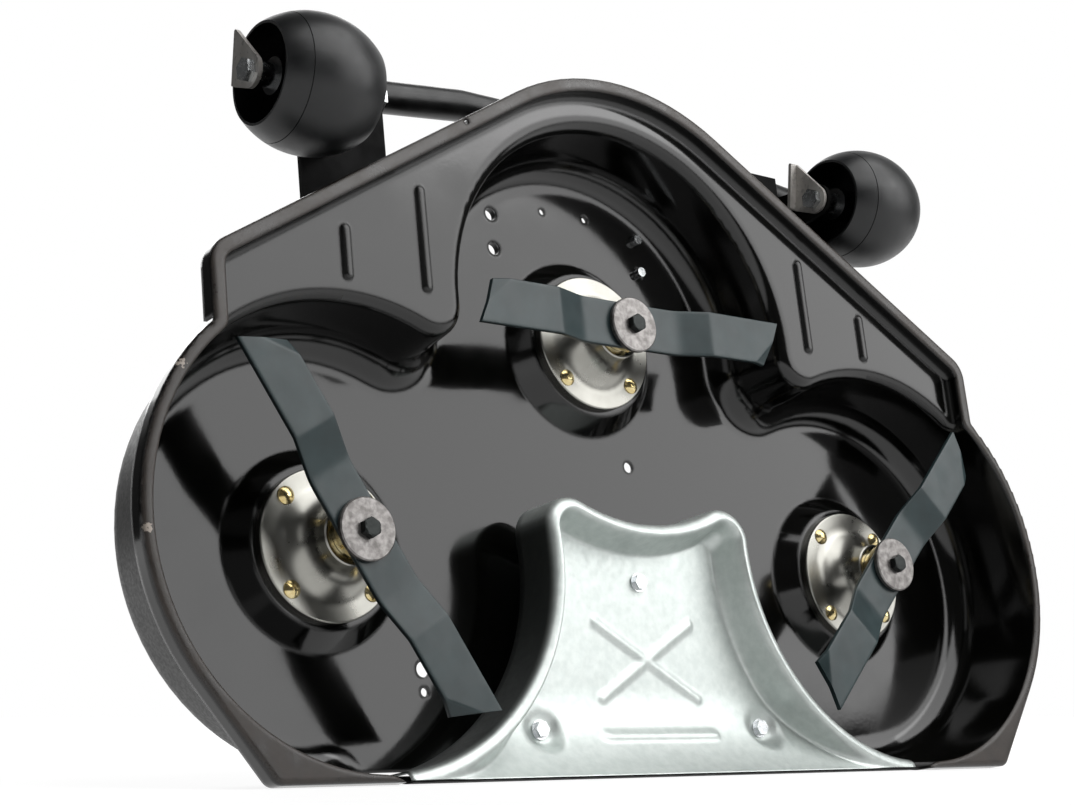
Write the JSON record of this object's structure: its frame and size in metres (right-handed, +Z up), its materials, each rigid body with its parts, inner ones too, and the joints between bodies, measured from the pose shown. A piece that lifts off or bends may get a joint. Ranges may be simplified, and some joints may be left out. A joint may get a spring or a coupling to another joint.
{
  "type": "lawn mower deck",
  "caption": "Pressed steel rider mower deck stood on its rear edge, with bladed spindles, belt drive, bolted mulching plug and barrel support rollers.",
  "frame": {"origin": "centre of the footprint on the ground under the deck, which stands on its rear hem and rear lugs", "axes": "+X across the deck to the right as seen from the underside, +Y away from the viewer towards the belt side, +Z up"},
  "size_m": [1.08, 0.2366, 0.6719],
  "materials": {
    "black_paint": "glossy",
    "frame_paint": "satin",
    "yellow_zinc": "satin",
    "washer_steel": "satin",
    "black_oxide": "satin",
    "blade_paint": "satin",
    "casting": "satin",
    "pulley_steel": "satin",
    "galvanised": "satin",
    "belt_rubber": "matte",
    "roller_plastic": "satin",
    "bright_zinc": "satin"
  },
  "bodies": {
    "deck": {"axle_bolts": "bright_zinc", "axle_nuts": "bright_zinc", "deck_shell": "black_paint", "drive_belt": "belt_rubber", "foot_bolts": "bright_zinc", "frame_foot_left": "frame_paint", "frame_foot_right": "frame_paint", "frame_rail_left": "frame_paint", "frame_rail_right": "frame_paint", "front_tube": "frame_paint", "housing_nuts": "bright_zinc", "housing_screws": "yellow_zinc", "idler_nut": "bright_zinc", "idler_post": "frame_paint", "lower_bearing_front": "bright_zinc", "lower_bearing_left": "bright_zinc", "lower_bearing_right": "bright_zinc", "mulching_plug": "galvanised", "plug_nuts": "bright_zinc", "plug_posts": "bright_zinc", "plug_screws": "bright_zinc", "rear_lug_left": "frame_paint", "rear_lug_right": "frame_paint", "roller_bracket_left": "frame_paint", "roller_bracket_right": "frame_paint", "roller_plates_left": "bright_zinc", "roller_plates_right": "bright_zinc", "roller_sleeves": "bright_zinc", "spindle_housing_front": "casting", "spindle_housing_left": "casting", "spindle_housing_right": "casting", "upper_bearing_front": "bright_zinc", "upper_bearing_left": "bright_zinc", "upper_bearing_right": "bright_zinc"},
    "left_spindle": {"spindle_shaft_left": "bright_zinc", "blade_collar_left": "yellow_zinc", "blade_left": "blade_paint", "blade_washer_left": "washer_steel", "blade_bolt_left": "black_oxide", "spindle_pulley_left": "pulley_steel", "spindle_nut_left": "bright_zinc"},
    "front_spindle": {"spindle_shaft_front": "bright_zinc", "blade_collar_front": "yellow_zinc", "blade_front": "blade_paint", "blade_washer_front": "washer_steel", "blade_bolt_front": "black_oxide", "spindle_pulley_front": "pulley_steel", "spindle_nut_front": "bright_zinc"},
    "right_spindle": {"spindle_shaft_right": "bright_zinc", "blade_collar_right": "yellow_zinc", "blade_right": "blade_paint", "blade_washer_right": "washer_steel", "blade_bolt_right": "black_oxide", "spindle_pulley_right": "pulley_steel", "spindle_nut_right": "bright_zinc"},
    "idler": {"idler_pulley": "pulley_steel"},
    "left_support_roller": {"roller_left": "roller_plastic"},
    "right_support_roller": {"roller_right": "roller_plastic"}
  },
  "joints": [
    {"name": "left_spindle_spin", "type": "hinge", "parent": "deck", "child": "left_spindle", "pos_m": [-0.325, -0.08583, 0.21026], "axis": [0, -0.988, 0.1547], "continuous": true},
    {"name": "front_spindle_spin", "type": "hinge", "parent": "deck", "child": "front_spindle", "pos_m": [0, -0.05179, 0.42761], "axis": [0, -0.988, 0.1547], "continuous": true},
    {"name": "right_spindle_spin", "type": "hinge", "parent": "deck", "child": "right_spindle", "pos_m": [0.325, -0.08583, 0.21026], "axis": [0, -0.988, 0.1547], "continuous": true},
    {"name": "idler_spin", "type": "hinge", "parent": "deck", "child": "idler", "pos_m": [0.07, 0.05253, 0.15013], "axis": [0, -0.988, 0.1547], "continuous": true},
    {"name": "left_roller_spin", "type": "hinge", "parent": "deck", "child": "left_support_roller", "pos_m": [-0.351, -0.00805, 0.60093], "axis": [1, 0, 0], "continuous": true},
    {"name": "right_roller_spin", "type": "hinge", "parent": "deck", "child": "right_support_roller", "pos_m": [0.351, -0.00805, 0.60093], "axis": [1, 0, 0], "continuous": true}
  ],
  "couplings": [
    {"joint": "left_spindle_spin", "follows": "front_spindle_spin", "ratio": 1},
    {"joint": "right_spindle_spin", "follows": "front_spindle_spin", "ratio": 1},
    {"joint": "idler_spin", "follows": "front_spindle_spin", "ratio": 2}
  ]
}
